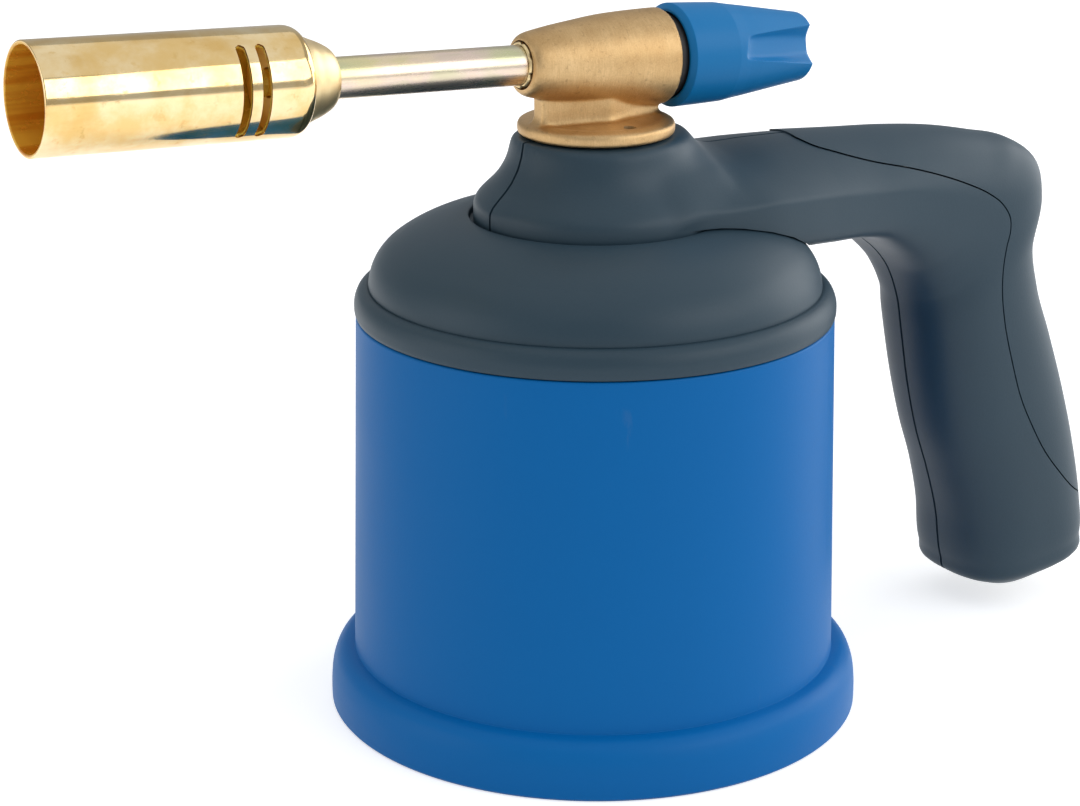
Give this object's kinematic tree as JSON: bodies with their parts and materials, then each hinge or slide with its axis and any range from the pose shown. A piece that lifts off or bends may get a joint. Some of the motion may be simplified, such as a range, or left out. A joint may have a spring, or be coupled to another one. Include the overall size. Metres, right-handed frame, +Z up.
{
  "type": "gas soldering torch",
  "caption": "Hand-held gas soldering torch: a brass flame tube and needle valve with a round knob on a domed canister with a wide foot and a curved pistol handle.",
  "frame": {"origin": "canister axis at the level of the foot", "axes": "+Z up along the canister axis, +X towards the handle, so that the burner points along -X"},
  "size_m": [0.2495, 0.1114, 0.1516],
  "materials": {
    "blue_plastic": "matte moulded blue plastic",
    "knob_plastic": "satin moulded blue plastic",
    "slate_plastic": "matte slate grey plastic",
    "black_plastic": "matte black plastic",
    "cast_brass": "brushed cast brass",
    "bright_brass": "polished brass",
    "yellow_zinc_steel": "steel with yellow zinc plating",
    "steel": "plain bright steel",
    "tinplate": "tinplate",
    "black_rubber": "matte rubber"
  },
  "bodies": {
    "base": {"base_cup": "blue_plastic", "gas_cartridge": "tinplate"},
    "lid": {"lid_dome": "slate_plastic", "lid_threaded_bush": "cast_brass"},
    "seal": {"cartridge_seal": "black_rubber"},
    "head": {"piercing_stem": "cast_brass", "piercing_needle": "steel", "gas_filter": "tinplate", "handle_left_shell": "slate_plastic", "handle_right_shell": "slate_plastic", "handle_back_cover": "slate_plastic", "handle_screw_1": "steel", "handle_screw_2": "steel", "handle_screw_3": "steel", "valve_body": "cast_brass", "collar_clamp_nut": "steel", "valve_seat": "bright_brass", "gland_nut": "black_plastic", "gas_tube": "yellow_zinc_steel", "tube_ferrule": "cast_brass", "burner_head": "cast_brass", "gas_jet": "bright_brass", "flame_tube": "bright_brass", "flame_stabiliser": "steel"},
    "packing": {"spindle_o_ring": "black_rubber"},
    "tap": {"valve_spindle": "steel", "knob": "knob_plastic", "knob_screw": "steel"}
  },
  "joints": [
    {"name": "lid_turn", "type": "hinge", "parent": "base", "child": "lid", "pos_m": [0, 0, 0.0844], "axis": [0, 0, 1], "range_deg": [0, 22]},
    {"name": "head_rise", "type": "slide", "parent": "lid", "child": "seal", "axis": [0, 0, 1], "range_m": [0, 0.0045]},
    {"name": "head_turn", "type": "hinge", "parent": "seal", "child": "head", "pos_m": [0, 0, 0.1], "axis": [0, 0, 1], "range_deg": [0, 1080]},
    {"name": "needle_travel", "type": "slide", "parent": "head", "child": "packing", "axis": [0.9991, 0, -0.0419], "range_m": [0, 0.0015]},
    {"name": "knob_turn", "type": "hinge", "parent": "packing", "child": "tap", "pos_m": [0, 0, 0.136], "axis": [0.9991, 0, -0.0419], "range_deg": [0, 540]}
  ],
  "couplings": [
    {"joint": "head_rise", "follows": "head_turn", "m_per_rad": 0.0002387},
    {"joint": "knob_turn", "follows": "needle_travel", "rad_per_m": 6283.1}
  ]
}
